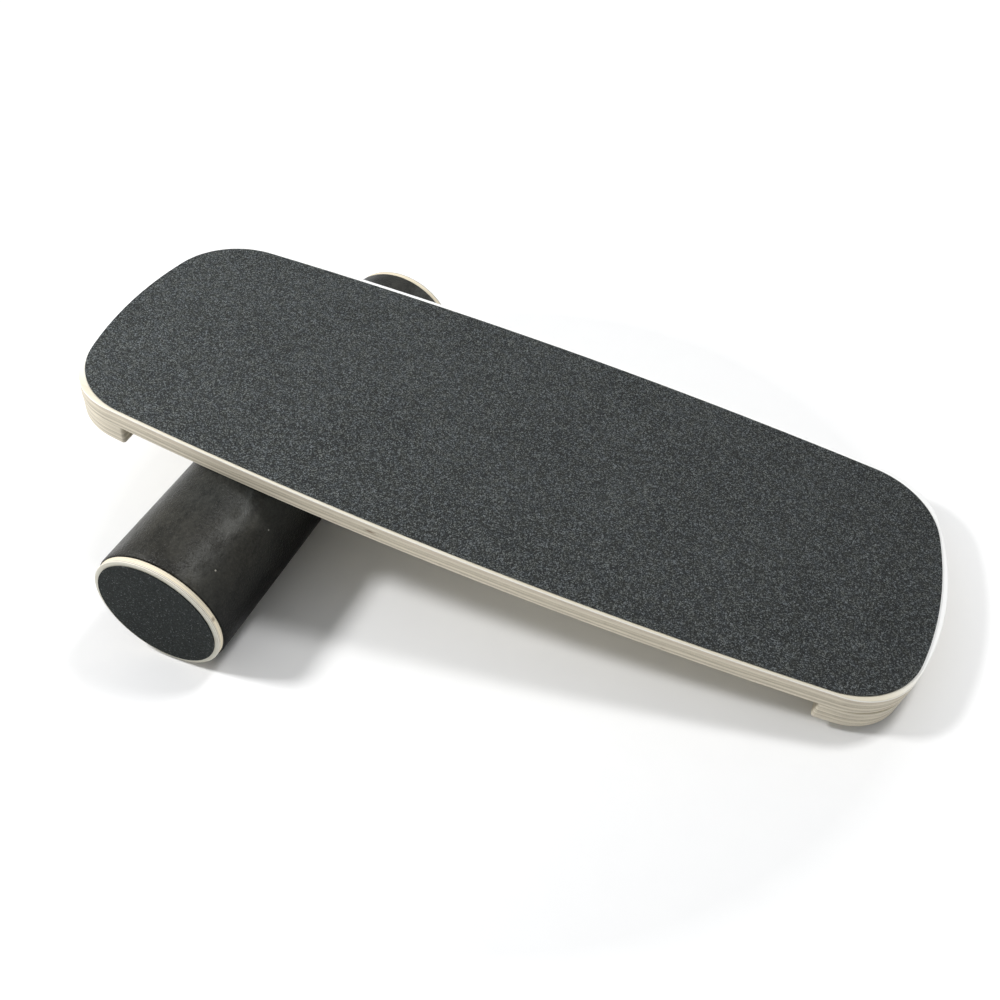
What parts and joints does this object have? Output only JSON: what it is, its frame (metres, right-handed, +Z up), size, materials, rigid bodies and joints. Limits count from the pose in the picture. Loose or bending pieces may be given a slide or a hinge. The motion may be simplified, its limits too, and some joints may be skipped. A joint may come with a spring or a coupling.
{
  "type": "balance board",
  "caption": "Balance board: plywood deck with a black abrasive top and a stop block under each end, leaning on a foam-covered roller.",
  "frame": {"origin": "middle of the object's box, on the floor", "axes": "+Y along the roller's axis, +X level and towards the deck's low end, +Z up"},
  "size_m": [0.7438, 0.426, 0.1645],
  "materials": {
    "birch_plywood": "satin",
    "abrasive_grip": "matte",
    "charcoal_foam": "matte",
    "pipe_plastic": "matte",
    "plug_wood": "matte",
    "zinc_steel": "satin"
  },
  "bodies": {
    "roller_core": {"core_tube": "pipe_plastic"},
    "tilt_carrier": {"end_plug_front": "plug_wood", "end_plug_back": "plug_wood"},
    "roller": {"foam_sleeve": "charcoal_foam", "end_disc_front": "birch_plywood", "end_disc_back": "birch_plywood", "end_grip_front": "abrasive_grip", "end_grip_back": "abrasive_grip"},
    "deck": {"deck_panel": "birch_plywood", "grip_sheet": "abrasive_grip", "stop_block_left": "birch_plywood", "stop_block_right": "birch_plywood", "stop_screw_left_1": "zinc_steel", "stop_screw_left_2": "zinc_steel", "stop_screw_left_3": "zinc_steel", "stop_screw_left_4": "zinc_steel", "stop_screw_right_1": "zinc_steel", "stop_screw_right_2": "zinc_steel", "stop_screw_right_3": "zinc_steel", "stop_screw_right_4": "zinc_steel"}
  },
  "joints": [
    {"name": "deck_tilt", "type": "hinge", "parent": "roller_core", "child": "tilt_carrier", "pos_m": [-0.19534, 0, 0.0579], "axis": [0, -1, 0], "range_deg": [0, 40]},
    {"name": "deck_travel", "type": "slide", "parent": "tilt_carrier", "child": "deck", "axis": [0.9848, 0, -0.1738], "range_m": [-0.438, 0.06]},
    {"name": "roller_spin", "type": "hinge", "parent": "tilt_carrier", "child": "roller", "pos_m": [-0.19534, 0, 0.0579], "axis": [0, 1, 0], "range_deg": [-434, 60]}
  ],
  "couplings": [
    {"joint": "roller_spin", "follows": "deck_travel", "rad_per_m": 17.271}
  ]
}
